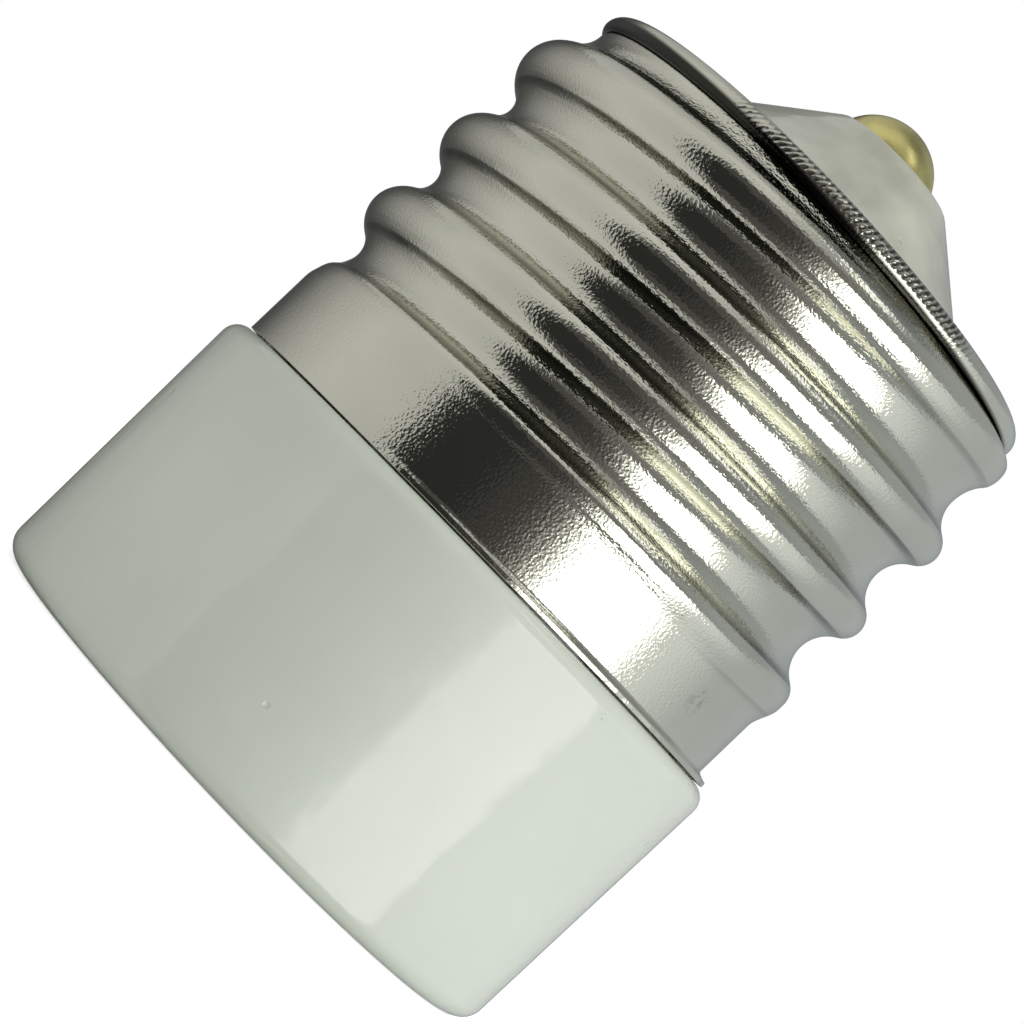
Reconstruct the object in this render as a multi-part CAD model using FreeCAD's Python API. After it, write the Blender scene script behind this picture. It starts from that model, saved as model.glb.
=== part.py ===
import FreeCAD, Part
import math
import os

os.makedirs("parts", exist_ok=True)

# Lamp socket adapter: a large screw cap outside, a medium lamp socket inside.
# Millimetres. Z = 0 is the open porcelain face that it stands on, +Z runs to the nose.

# Porcelain body
collar_height = 20.0
collar_ledge = 0.8
collar_taper = 0.27
foot_round = 1.4
shoulder_round = 1.1
mouth_step = 1.1
mouth_depth = 7.0
mouth_round = 1.2
cavity_gap = 0.25
floor_z = 37.5
floor_round = 0.3
neck_gap = 0.25
shoulder_above_collar = 28.32
neck_round = 0.7
shoulder_width = 4.67
cone_slope = 1.2
plateau_ledge = 0.85
plateau_round = 0.6
nose_shift = 0.53

# Outer screw shell, heights above the collar
outer_wall = 0.35
outer_pitch = 6.35
outer_crest_r = 19.65
outer_crest_arc = 1.7
outer_root_arc = 2.0
outer_start_angle = 5.36
skirt_step = 0.55
lip_flare = 0.45
lip_height = 0.9
skirt_height = 3.3
skirt_blend_start = 4.8
skirt_blend_end = 6.8
groove_start = 4.1
groove_full = 7.0
crest_fade = 23.4
crest_fade_end = 26.4
crest_fade_share = 0.35
root_sink_start = 24.5
root_sink = 0.4
rim_close_height = 0.7
rim_crease_step = 2.25
rim_crease_drop = 1.02
rim_bulge = 0.45
rim_bulge_height = 0.75
rim_curl = 1.0
rim_flat = 1.45
rim_gap = 0.05

# Inner screw shell, heights above the open face
inner_wall = 0.35
inner_thread_inset = 6.32
inner_open_z = 7.6
inner_flare = 0.15
inner_flare_height = 0.8
inner_thread_length = 20.0
inner_back_widening = 0.17
inner_back_step = 0.4
inner_corner = 0.3
inner_flange_width = 4.6

# Centre contact rivet
dome_r = 3.5
dome_height = 2.4
contact_shank_r = 1.6
contact_hole_gap = 0.2
contact_set_r = 2.6
contact_set_height = 0.8
contact_set_round = 0.35

# Contact spring, one bent strip
spring_thickness = 0.4
spring_width = 7.0
spring_foot_back = 4.0
spring_foot_front = 4.6
spring_fold_r = 1.9
spring_fold_angle = 165.0
spring_tongue = 4.4
spring_bow_r = 3.2
spring_bow_angle = 45.0
spring_tip = 1.8
spring_corner = 1.5
spring_hole_gap = 0.1

# Rivets that hold the inner shell, and what they clamp
rivet_inset = 1.7
rivet_shank_r = 0.95
rivet_head_r = 1.35
rivet_head_height = 0.8
rivet_head_round = 0.45
rivet_set_height = 0.6
rivet_set_round = 0.3
rivet_hole_gap = 0.15
plate_hole_gap = 0.05
seat_depth = 0.35
strip_width = 3.0
strip_end_gap = 0.56
seat_gap = 0.15

# Fineness of the thread's surface, and how far a cut overshoots
rows_per_pitch = 12
columns_per_turn = 24
lip_rows = 3
rim_rows = 3
fitting_rounds = 24
cut_margin = 0.5

# Working values that follow from the sizes above
shoulder_z = collar_height + shoulder_above_collar
seat_z = shoulder_z - seat_depth
inner_major_r = outer_crest_r - inner_thread_inset
inner_back_r = inner_major_r + inner_back_widening
inner_flange_r = inner_back_r - inner_flange_width
rivet_circle_r = inner_back_r - rivet_inset
outer_arcs = outer_crest_arc + outer_root_arc
outer_depth = outer_arcs - math.sqrt(outer_arcs ** 2 - (outer_pitch / 2) ** 2)
rim_crease_r = outer_crest_r - rim_crease_step
rim_top_r = rim_crease_r + rim_bulge - rim_curl
rim_top_z = shoulder_above_collar + rim_gap + outer_wall
rim_crease_z = shoulder_above_collar - rim_crease_drop
skirt_r = outer_crest_r - skirt_step
lip_r = skirt_r + lip_flare
collar_top_r = lip_r + collar_ledge
collar_foot_r = collar_top_r - collar_taper
neck_r = rim_crease_r - outer_wall - neck_gap
cavity_r = inner_back_r + inner_wall + cavity_gap
mouth_r = cavity_r + mouth_step
cone_foot_r = neck_r - shoulder_width
plateau_r = dome_r + plateau_ledge
plateau_z = shoulder_z + (cone_foot_r - plateau_r) / cone_slope
strip_outer_r = neck_r - strip_end_gap
contact_hole_r = contact_shank_r + contact_hole_gap
rivet_hole_r = rivet_shank_r + rivet_hole_gap
plate_hole_r = rivet_shank_r + plate_hole_gap
seat_r = strip_width / 2 + seat_gap
foot_bottom_z = floor_z - spring_thickness
flange_z = floor_z - inner_wall


def vec(x, y, z):
    return FreeCAD.Vector(x, y, z)


def rounded_wire(corners):
    """Closed wire in the XZ plane from (x, z, corner radius) points."""
    starts = []
    ends = []
    arcs = []
    count = len(corners)
    for i in range(count):
        x, z, radius = corners[i]
        here = vec(x, 0, z)
        before = corners[i - 1]
        after = corners[(i + 1) % count]
        if radius <= 0:
            starts.append(here)
            ends.append(here)
            arcs.append(None)
            continue
        u = (vec(before[0], 0, before[1]) - here).normalize()
        v = (vec(after[0], 0, after[1]) - here).normalize()
        half = math.acos(u.dot(v)) / 2
        reach = radius / math.tan(half)
        middle = (u + v).normalize()
        start = here + u * reach
        end = here + v * reach
        top = here + middle * (radius / math.sin(half) - radius)
        starts.append(start)
        ends.append(end)
        arcs.append(Part.Arc(start, top, end).toShape())
    edges = []
    for i in range(count):
        if arcs[i]:
            edges.append(arcs[i])
        line_end = starts[(i + 1) % count]
        if ends[i].distanceToPoint(line_end) > 1e-6:
            edges.append(Part.LineSegment(ends[i], line_end).toShape())
    return Part.Wire(edges)


def turned(corners):
    """Solid of revolution about Z from (radius, z, corner radius) points."""
    face = Part.Face(rounded_wire(corners))
    return face.revolve(vec(0, 0, 0), vec(0, 0, 1), 360)


def rod(radius, z0, z1, x=0.0, y=0.0):
    return Part.makeCylinder(radius, z1 - z0, vec(x, y, z0))


def smooth(t):
    t = min(1.0, max(0.0, t))
    return t * t * (3 - 2 * t)


def knuckle_drop(axial):
    """How far the outer thread lies below its crest, at an axial distance from the crest."""
    s = abs((axial + outer_pitch / 2) % outer_pitch - outer_pitch / 2)
    if s <= outer_pitch / 2 * outer_crest_arc / outer_arcs:
        return outer_crest_arc - math.sqrt(outer_crest_arc ** 2 - s ** 2)
    t = outer_pitch / 2 - s
    return outer_depth - outer_root_arc + math.sqrt(outer_root_arc ** 2 - t ** 2)


def spread(start, stop, step):
    """Evenly spaced values from start to stop, about one step apart."""
    count = max(1, round((stop - start) / step))
    return [start + (stop - start) * i / count for i in range(count + 1)]


def ring_poles(ring):
    """Poles of the closed even cubic spline that passes through the points of a ring."""
    poles = list(ring)
    for step in range(fitting_rounds):
        for j in range(len(ring)):
            near = poles[j - 1] + poles[(j + 1) % len(ring)]
            poles[j] = (ring[j] * 6 - near) * 0.25
    return poles


def profile_poles(points):
    """Poles of the open even cubic spline that passes through the points of a profile."""
    poles = [points[0], points[0] + (points[1] - points[0]) * (1 / 3)]
    poles += points[1:-1]
    poles += [points[-1] + (points[-2] - points[-1]) * (1 / 3), points[-1]]
    last = len(points) - 2
    for step in range(fitting_rounds):
        for k in range(1, last + 1):
            before, here, after = 1 / 6, 4 / 6, 1 / 6
            if k == 1:
                before, here = 1 / 4, 7 / 12
            if k == last:
                after, here = 1 / 4, 7 / 12
            near = poles[k] * before + poles[k + 2] * after
            poles[k + 1] = (points[k] - near) * (1 / here)
    return poles


def skin_face(rings):
    """One smooth face through closed rings of points."""
    around = len(rings[0])
    rows = [ring_poles(ring) for ring in rings]
    columns = []
    for j in range(around):
        columns.append(profile_poles([row[j] for row in rows]))
    spans = len(rings) - 1
    surface = Part.BSplineSurface()
    surface.buildFromPolesMultsKnots(
        columns,
        [1] * (around + 1), [4] + [1] * (spans - 1) + [4],
        list(range(around + 1)), list(range(spans + 1)),
        True, False, 3, 3)
    return surface.toShape()


def sheet_shell(stations, radius_at, wall, around):
    """Thin pressed shell. stations are heights, radius_at(i, angle) gives the skin,
    and wall is the sheet thickness, positive when the second skin lies inside."""
    angles = [2 * math.pi * j / around for j in range(around)]
    count = len(stations)
    rings = []
    for i in range(count):
        ring = []
        for angle in angles:
            r = radius_at(i, angle)
            ring.append(vec(r * math.cos(angle), r * math.sin(angle), stations[i]))
        rings.append(ring)
    offset_rings = []
    for i in range(count):
        low = rings[max(0, i - 1)]
        high = rings[min(count - 1, i + 1)]
        ring = []
        for j in range(around):
            along = high[j] - low[j]
            across = rings[i][(j + 1) % around] - rings[i][j - 1]
            normal = across.cross(along).normalize()
            if i == 0:
                normal = vec(normal.x, normal.y, 0).normalize()
            if i == count - 1:
                normal = vec(0, 0, 1)
            ring.append(rings[i][j] - normal * wall)
        offset_rings.append(ring)
    skin = skin_face(rings)
    offset_skin = skin_face(offset_rings)
    faces = [skin, offset_skin]
    for z_pick in (min, max):
        edge = z_pick(skin.Edges, key=lambda e: e.BoundBox.ZMin + e.BoundBox.ZMax)
        mate = z_pick(offset_skin.Edges, key=lambda e: e.BoundBox.ZMin + e.BoundBox.ZMax)
        faces.append(Part.makeRuledSurface(edge, mate))
    shell = Part.makeShell(faces)
    shell.sewShape()
    solid = Part.Solid(shell)
    if solid.Volume < 0:
        solid.reverse()
    return solid


def make_porcelain_body():
    body = turned([
        (mouth_r, 0, mouth_round),
        (collar_foot_r, 0, foot_round),
        (collar_top_r, collar_height, shoulder_round),
        (neck_r, collar_height, 0),
        (neck_r, shoulder_z, neck_round),
        (contact_hole_r, shoulder_z, 0),
        (contact_hole_r, floor_z, 0),
        (cavity_r, floor_z, floor_round),
        (cavity_r, mouth_depth, 0),
        (mouth_r, mouth_depth, 0),
    ])
    nose = turned([
        (0, shoulder_z - cut_margin, 0),
        (cone_foot_r + cone_slope * cut_margin, shoulder_z - cut_margin, 0),
        (plateau_r, plateau_z, plateau_round),
        (0, plateau_z, 0),
    ])
    nose.translate(vec(nose_shift, 0, 0))
    body = body.fuse(nose)
    body = body.cut(rod(contact_hole_r, floor_z - cut_margin, plateau_z + cut_margin))
    for side in (-1, 1):
        x = side * rivet_circle_r
        body = body.cut(rod(rivet_hole_r, floor_z - cut_margin, plateau_z, x))
        body = body.cut(rod(seat_r, seat_z, plateau_z, x))
    groove = Part.makeBox(neck_r - rivet_circle_r + cut_margin, 2 * seat_r, seat_depth + cut_margin,
                          vec(-neck_r - cut_margin, -seat_r, seat_z))
    return body.cut(groove)


def outer_thread_r(h, angle):
    """Outer radius of the wound wall at a height above the collar. The groove deepens over
    its first half turn, and the crest sinks over its last."""
    crest_h = outer_pitch * (angle - outer_start_angle) / (2 * math.pi)
    turns = (h - crest_h) / outer_pitch
    near_crest = crest_h + outer_pitch * round(turns)
    near_groove = crest_h + outer_pitch * (math.floor(turns) + 0.5)
    drop = knuckle_drop(h - crest_h)
    if h < crest_fade / 2:
        blend = smooth((h - skirt_blend_start) / (skirt_blend_end - skirt_blend_start))
        depth = smooth((near_groove - groove_start) / (groove_full - groove_start))
        return skirt_r + (outer_crest_r - skirt_r) * blend - drop * depth
    fade = crest_fade_share * smooth((near_crest - crest_fade) / (crest_fade_end - crest_fade))
    sink = root_sink * smooth((h - root_sink_start) / (rim_crease_z - root_sink_start))
    root_r = outer_crest_r - outer_depth - sink
    return root_r + (outer_depth - drop) * (1 - fade)


def rim_profile():
    """The curled rim from the crease up, as (height above the collar, radius) points: a
    rounded bead, then a flat that lies over the porcelain's shoulder."""
    bulge_z = rim_crease_z + rim_bulge_height
    rise = rim_top_z - bulge_z
    turns = [math.pi / 2 * (k + 1) / rim_rows for k in range(rim_rows)]
    points = [(rim_crease_z, rim_crease_r)]
    for a in turns:
        points.append((bulge_z - rim_bulge_height * math.cos(a), rim_crease_r + rim_bulge * math.sin(a)))
    for a in turns:
        points.append((bulge_z + rise * math.sin(a), rim_top_r + rim_curl * math.cos(a)))
    points.append((rim_top_z, rim_top_r - rim_flat / 2))
    points.append((rim_top_z, rim_top_r - rim_flat))
    return points


def make_outer_screw_shell():
    row_step = outer_pitch / rows_per_pitch
    lip = spread(0.0, lip_height, lip_height / lip_rows)
    lip += spread(lip_height, skirt_height, row_step)[1:-1]
    closing_z = rim_crease_z - rim_close_height
    wound = spread(skirt_height, closing_z, row_step)[:-1]
    wound += spread(closing_z, rim_crease_z, row_step / 2)[:-1]
    rim = rim_profile()
    wall_rows = len(lip) + len(wound)
    heights = lip + wound + [z for z, r in rim]

    def radius_at(i, angle):
        h = heights[i]
        if i >= wall_rows:
            return rim[i - wall_rows][1]
        if h < skirt_height:
            return skirt_r + lip_flare * (1 - min(1.0, h / lip_height)) ** 2
        t = max(0.0, (h - closing_z) / rim_close_height)
        return rim_crease_r + (outer_thread_r(h, angle) - rim_crease_r) * (1 - t ** 3)

    shell = sheet_shell(heights, radius_at, outer_wall, columns_per_turn)
    shell.translate(vec(0, 0, collar_height))
    return shell


def make_inner_screw_shell():
    thread_z = inner_open_z + inner_flare_height
    back_z = thread_z + inner_thread_length
    skin = [
        (inner_major_r + inner_flare, inner_open_z),
        (inner_major_r, thread_z),
        (inner_major_r, back_z),
        (inner_back_r, back_z + inner_back_step),
    ]
    outside = [(r + inner_wall, z, 0) for r, z in skin]
    inside = [(r, z, 0) for r, z in reversed(skin)]
    sleeve = turned(
        outside
        + [(inner_back_r + inner_wall, floor_z, inner_corner + inner_wall),
           (inner_flange_r, floor_z, 0),
           (inner_flange_r, flange_z, 0),
           (inner_back_r, flange_z, inner_corner)]
        + inside)
    for side in (-1, 1):
        x = side * rivet_circle_r
        sleeve = sleeve.cut(rod(plate_hole_r, flange_z - cut_margin, floor_z + cut_margin, x))
    return sleeve


def make_centre_contact():
    sphere_r = (dome_r ** 2 + dome_height ** 2) / (2 * dome_height)
    ball = Part.makeSphere(sphere_r, vec(0, 0, plateau_z + dome_height - sphere_r))
    dome = ball.common(rod(sphere_r, plateau_z, plateau_z + dome_height + cut_margin))
    shank = rod(contact_shank_r, foot_bottom_z - contact_set_height / 2, plateau_z + dome_height / 2)
    set_end = turned([
        (0, foot_bottom_z, 0),
        (contact_set_r, foot_bottom_z, 0),
        (contact_set_r, foot_bottom_z - contact_set_height, contact_set_round),
        (0, foot_bottom_z - contact_set_height, 0),
    ])
    return dome.fuse([shank, set_end]).removeSplitter()


def strip_wire(x, z, heading, moves, thickness):
    """Closed outline of a bent strip in the XZ plane. Each move is a straight length, or a
    (radius, turn) pair with the turn to the right in degrees."""
    sides = {1: [], -1: []}
    ends = {}
    a = math.radians(heading)
    for move in moves:
        for side in (1, -1):
            offset = side * thickness / 2
            start = vec(x - math.sin(a) * offset, 0, z + math.cos(a) * offset)
            if isinstance(move, tuple):
                radius, turn = move
                cx = x + math.sin(a) * radius
                cz = z - math.cos(a) * radius
                reach = radius + offset
                points = []
                for part in (0.0, 0.5, 1.0):
                    b = a - math.radians(turn) * part
                    points.append(vec(cx - math.sin(b) * reach, 0, cz + math.cos(b) * reach))
                sides[side].append(Part.Arc(*points).toShape())
                ends[side] = (points[0], points[2])
            else:
                end = start + vec(math.cos(a) * move, 0, math.sin(a) * move)
                sides[side].append(Part.LineSegment(start, end).toShape())
                ends[side] = (start, end)
        if move is moves[0]:
            first_cap = Part.LineSegment(ends[1][0], ends[-1][0]).toShape()
        if isinstance(move, tuple):
            radius, turn = move
            b = a - math.radians(turn)
            x = x + math.sin(a) * radius - math.sin(b) * radius
            z = z - math.cos(a) * radius + math.cos(b) * radius
            a = b
        else:
            x = x + math.cos(a) * move
            z = z + math.sin(a) * move
    last_cap = Part.LineSegment(ends[1][1], ends[-1][1]).toShape()
    edges = sides[1] + [last_cap] + sides[-1] + [first_cap]
    return Part.Wire(Part.__sortEdges__(edges))


def make_contact_spring():
    outline = strip_wire(
        -spring_foot_back, floor_z - spring_thickness / 2, 0,
        [spring_foot_back + spring_foot_front,
         (spring_fold_r, spring_fold_angle),
         spring_tongue,
         (spring_bow_r, spring_bow_angle),
         spring_tip],
        spring_thickness)
    face = Part.Face(outline)
    face.translate(vec(0, -spring_width / 2, 0))
    strip = face.extrude(vec(0, spring_width, 0))
    corners = []
    for edge in strip.Edges:
        if abs(edge.Length - spring_thickness) < 1e-4:
            corners.append(edge)
    strip = strip.makeFillet(spring_corner, corners)
    hole = rod(contact_shank_r + spring_hole_gap, foot_bottom_z - cut_margin, floor_z + cut_margin)
    return strip.cut(hole)


def make_shell_rivet(side):
    rivet = turned([
        (0, flange_z - rivet_head_height, 0),
        (rivet_head_r, flange_z - rivet_head_height, rivet_head_round),
        (rivet_head_r, flange_z, 0),
        (rivet_shank_r, flange_z, 0),
        (rivet_shank_r, shoulder_z, 0),
        (rivet_head_r, shoulder_z, 0),
        (rivet_head_r, shoulder_z + rivet_set_height, rivet_set_round),
        (0, shoulder_z + rivet_set_height, 0),
    ])
    rivet.translate(vec(side * rivet_circle_r, 0, 0))
    return rivet


def make_link_strip():
    half = strip_width / 2
    strip = Part.makeBox(strip_outer_r - rivet_circle_r, strip_width, seat_depth,
                         vec(-strip_outer_r, -half, seat_z))
    strip = strip.fuse(rod(half, seat_z, shoulder_z, -rivet_circle_r)).removeSplitter()
    return strip.cut(rod(plate_hole_r, seat_z - cut_margin, shoulder_z + cut_margin, -rivet_circle_r))


def make_rivet_washer():
    washer = rod(strip_width / 2, seat_z, shoulder_z, rivet_circle_r)
    return washer.cut(rod(plate_hole_r, seat_z - cut_margin, shoulder_z + cut_margin, rivet_circle_r))


nodes = {
    "porcelain_body": make_porcelain_body(),
    "outer_screw_shell": make_outer_screw_shell(),
    "inner_screw_shell": make_inner_screw_shell(),
    "centre_contact": make_centre_contact(),
    "contact_spring": make_contact_spring(),
    "left_shell_rivet": make_shell_rivet(-1),
    "right_shell_rivet": make_shell_rivet(1),
    "link_strip": make_link_strip(),
    "rivet_washer": make_rivet_washer(),
}

for name, shape in nodes.items():
    box = shape.BoundBox
    print(name, "valid", shape.isValid(), "closed", shape.isClosed(),
          "volume", round(shape.Volume, 2), "solids", len(shape.Solids),
          "z", round(box.ZMin, 3), round(box.ZMax, 3), "x", round(box.XMin, 3), round(box.XMax, 3))
    shape.exportStep("parts/" + name + ".step")
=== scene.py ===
import math

import bmesh
import bpy
from mathutils import Matrix, Vector, noise


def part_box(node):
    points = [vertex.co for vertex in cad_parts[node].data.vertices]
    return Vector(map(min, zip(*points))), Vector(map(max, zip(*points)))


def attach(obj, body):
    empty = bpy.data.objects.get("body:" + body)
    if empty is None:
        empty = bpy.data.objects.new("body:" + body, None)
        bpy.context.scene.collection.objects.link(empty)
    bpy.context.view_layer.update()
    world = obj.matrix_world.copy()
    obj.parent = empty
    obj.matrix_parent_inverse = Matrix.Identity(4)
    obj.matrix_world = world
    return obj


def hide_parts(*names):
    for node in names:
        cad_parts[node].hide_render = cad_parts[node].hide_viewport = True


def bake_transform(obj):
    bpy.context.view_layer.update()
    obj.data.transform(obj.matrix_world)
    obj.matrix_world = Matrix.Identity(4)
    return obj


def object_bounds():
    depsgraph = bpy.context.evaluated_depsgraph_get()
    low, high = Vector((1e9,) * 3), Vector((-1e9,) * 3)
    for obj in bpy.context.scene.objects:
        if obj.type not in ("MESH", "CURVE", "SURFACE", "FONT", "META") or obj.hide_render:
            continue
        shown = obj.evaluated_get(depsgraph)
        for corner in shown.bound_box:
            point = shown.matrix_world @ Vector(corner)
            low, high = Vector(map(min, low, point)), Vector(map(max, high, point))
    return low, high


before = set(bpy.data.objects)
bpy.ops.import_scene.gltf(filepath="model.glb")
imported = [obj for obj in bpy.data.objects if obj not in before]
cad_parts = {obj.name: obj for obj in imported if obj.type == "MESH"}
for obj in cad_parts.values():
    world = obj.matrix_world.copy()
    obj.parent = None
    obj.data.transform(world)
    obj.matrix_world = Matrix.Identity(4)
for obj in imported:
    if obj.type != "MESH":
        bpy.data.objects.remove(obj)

bl_info = {
    "name": "Lamp socket adapter",
    "version": (1, 0, 0),
    "blender": (4, 5, 0),
    "location": "View3D > Sidebar > Adapter",
    "description": "Dresses the packed lamp socket adapter in glaze, nickel plate and brass",
    "category": "Object",
}

MM = 0.001
TURN = 2 * math.pi

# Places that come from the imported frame
LOWEST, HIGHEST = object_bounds()
SHELL_LOW, SHELL_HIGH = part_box("outer_screw_shell")
SLEEVE_LOW, SLEEVE_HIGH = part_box("inner_screw_shell")
BODY_LOW, BODY_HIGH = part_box("porcelain_body")
SPRING_LOW, SPRING_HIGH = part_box("contact_spring")
CONTACT_LOW, CONTACT_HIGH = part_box("centre_contact")
RIVET_LOW, RIVET_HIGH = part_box("right_shell_rivet")
STRIP_LOW, STRIP_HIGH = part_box("link_strip")
SEAM_Z = SHELL_LOW.z
FLOOR_Z = SLEEVE_HIGH.z
SHOULDER_Z = STRIP_HIGH.z
PLATEAU_Z = BODY_HIGH.z


def length(name, description, millimetres):
    return bpy.props.FloatProperty(
        name=name, description=description, default=millimetres * MM,
        min=0.0, unit="LENGTH", subtype="DISTANCE", precision=5)


def count(name, description, default):
    return bpy.props.IntProperty(name=name, description=description, default=default, min=3)


def share(name, description, default):
    return bpy.props.FloatProperty(
        name=name, description=description, default=default, min=0.0, max=1.0)


def colour(name, description, red, green, blue):
    return bpy.props.FloatVectorProperty(
        name=name, description=description, subtype="COLOR", size=4,
        default=(red, green, blue, 1.0), min=0.0, max=1.0)


def rotation(name, description, radians):
    return bpy.props.FloatProperty(
        name=name, description=description, default=radians, subtype="ANGLE", unit="ROTATION")


class AdapterPorcelain(bpy.types.PropertyGroup):
    foot_radius: length("Foot radius", "Collar radius just above the open face", 20.08)
    top_radius: length("Top radius", "Collar radius at its shoulder", 20.35)
    foot_round: length("Foot rounding", "Rounding of the outer edge of the open face", 1.4)
    shoulder_round: length("Shoulder rounding", "Rounding of the collar's upper edge", 1.2)
    seat_gap: length("Seat gap", "Dark gap between the collar and the shell's lip", 0.12)
    mouth_radius: length("Mouth radius", "Radius of the wide mouth", 15.2)
    mouth_depth: length("Mouth depth", "Depth of the wide mouth", 7.0)
    mouth_round: length("Mouth rounding", "Rounding of the mouth's edge", 1.2)
    cavity_radius: length("Cavity radius", "Radius of the hollow round the inner shell", 14.1)
    cavity_round: length("Cavity rounding", "Rounding of the socket's floor", 0.3)
    neck_radius: length("Neck radius", "Radius of the neck inside the outer shell", 16.8)
    neck_round: length("Neck rounding", "Rounding of the neck's upper edge", 0.7)
    cone_radius: length("Cone radius", "Radius of the nose where it leaves the shoulder", 12.13)
    plateau_radius: length("Plateau radius", "Radius of the nose's flat end", 4.35)
    plateau_round: length("Plateau rounding", "Rounding of the flat end's edge", 1.1)
    nose_shift: length("Nose shift", "How far the moulded nose stands off the axis", 0.53)
    hole_radius: length("Contact hole radius", "Hole for the centre contact's shank", 1.8)
    seat_radius: length("Seat radius", "Radius of a rivet's seat beside the nose", 1.65)
    steps: count("Steps", "Segments round the axis", 224)


class AdapterShell(bpy.types.PropertyGroup):
    wall: length("Wall", "Thickness of the pressed sheet", 0.35)
    pitch: length("Pitch", "Rise of the outer thread in one turn", 6.35)
    crest_radius: length("Crest radius", "Outer radius of the thread's crest", 19.65)
    crest_arc: length("Crest arc", "Radius of the crest's arc", 1.7)
    root_arc: length("Root arc", "Radius of the groove's arc", 2.0)
    arc_change: length("Arc change", "How much sharper the crest's arc is on the right", 0.3)
    start_angle: rotation("Start angle", "Angle at which a crest meets the seam", 5.36)
    skirt_radius: length("Skirt radius", "Radius of the plain skirt", 19.08)
    lip_flare: length("Lip flare", "How much more the lip flares on the right", 0.5)
    lip_evenness: share("Lip evenness", "Share of that flare which is there all round", 0.4)
    lip_band: length("Lip band", "Height of the lip's upright band", 0.3)
    lip_height: length("Lip height", "Height at which the flare has gone", 0.68)
    lip_wave: length("Lip wave", "How unevenly the lip was pressed", 0.14)
    skirt_top: length("Skirt top", "Height up to which the skirt is plain", 3.3)
    skirt_blend_start: length("Skirt blend start", "Height where the skirt starts to widen", 4.8)
    skirt_blend_end: length("Skirt blend end", "Height where the crest has its full radius", 6.8)
    groove_start: length("Groove start", "Height at which the groove starts to form", 4.1)
    groove_full: length("Groove full", "Height at which the groove has its full depth", 7.0)
    crest_fade: length("Crest fade", "Height at which the crest starts to sink", 23.4)
    crest_fade_end: length("Crest fade end", "Height at which the crest has sunk", 26.4)
    crest_fade_share: share("Crest fade share", "How much of its height the last crest loses", 0.35)
    root_sink_start: length("Root sink start", "Height at which the last groove deepens", 24.5)
    root_sink: length("Root sink", "How much the last groove deepens", 0.4)
    close_height: length("Close height", "Height over which the wall turns in to the crease", 0.7)
    crease_radius: length("Crease radius", "Radius of the crease under the rim", 17.4)
    crease_height: length("Crease height", "Height of the crease above the seam", 27.3)
    bead_height: length("Bead height", "Height of the rim's widest place above the crease", 0.5)
    bead_radius: length("Bead radius", "Widest radius of the curled rim", 17.85)
    rim_radius: length("Rim radius", "Radius at which the rim turns flat", 16.85)
    rim_inner_radius: length("Rim inner radius", "Inner edge of the curled rim", 15.4)
    rim_drop: length("Rim drop", "How much the rim drops from its middle to the right", 0.15)
    # rim_shade, front_shade and shade_end place the painted shade under the rim
    rim_shade: length("Rim shade", "Height of the dark underside of the rim on the left", 0.75)
    front_shade: length("Front shade", "Height of the dark underside of the rim in front", 0.34)
    shade_end: length("Shade end", "Distance to the right where that dark starts to go", 7.5)
    lean: length("Lean", "How far the threaded wall stands off the axis", 0.2)
    seam_drop: length("Seam drop", "How far the seam lies under its place at the axis", 0.07)
    seam_slope: bpy.props.FloatProperty(
        name="Seam slope", description="Rise of the seam per length to the right", default=0.013)
    columns: count("Columns", "Segments round the threaded wall", 288)
    teeth: count("Teeth", "Small pressed teeth that would fill the whole rim", 240)
    tooth_depth: length("Tooth depth", "Depth of the pressed teeth", 0.19)
    tooth_slant: share("Tooth slant", "How far the teeth lean to the right", 0.85)
    tooth_middle: rotation(
        "Tooth middle", "Middle of the toothed part of the rim", math.radians(-84))
    tooth_span: rotation(
        "Tooth span", "From that middle to where the teeth end", math.radians(42))


class AdapterSleeve(bpy.types.PropertyGroup):
    wall: length("Wall", "Thickness of the inner shell's sheet", 0.35)
    pitch: length("Pitch", "Rise of the inner thread in one turn", 3.629)
    major_radius: length("Major radius", "Inner radius at the thread's widest", 13.33)
    arc: length("Arc", "Radius of the thread's arcs", 1.025)
    flare: length("Flare", "How far the open edge flares", 0.15)
    back_radius: length("Back radius", "Inner radius behind the thread", 13.5)
    thread_length: length("Thread length", "Length of the threaded stretch", 20.0)
    flange_radius: length("Flange radius", "Inner radius of the flange on the socket's floor", 8.9)
    columns: count("Columns", "Segments round the sleeve", 160)


class AdapterContacts(bpy.types.PropertyGroup):
    dome_radius: length("Dome radius", "Radius of the centre contact's dome", 3.5)
    dome_height: length("Dome height", "Height of the dome above the nose", 2.4)
    shank_radius: length("Shank radius", "Radius of the contact's shank", 1.6)
    set_radius: length("Set end radius", "Radius of the set end in the socket", 2.6)
    spring_thickness: length("Spring thickness", "Thickness of the spring strip", 0.4)
    spring_width: length("Spring width", "Width of the spring strip", 7.0)
    foot_back: length("Foot back", "Foot length behind the rivet", 4.0)
    foot_front: length("Foot front", "Foot length in front of the rivet", 4.6)
    fold_radius: length("Fold radius", "Radius of the fold, at mid thickness", 1.9)
    tongue: length("Tongue", "Straight stretch of the tongue", 4.4)
    bow_radius: length("Bow radius", "Radius of the bow that the lamp presses", 3.2)
    tip: length("Tip", "Straight stretch past the bow", 1.8)
    rivet_circle: length("Rivet circle", "Distance of the shell rivets from the axis", 11.8)
    rivet_shank: length("Rivet shank", "Shank radius of a shell rivet", 0.95)
    rivet_head: length("Rivet head", "Head radius of a shell rivet", 1.35)


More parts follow.
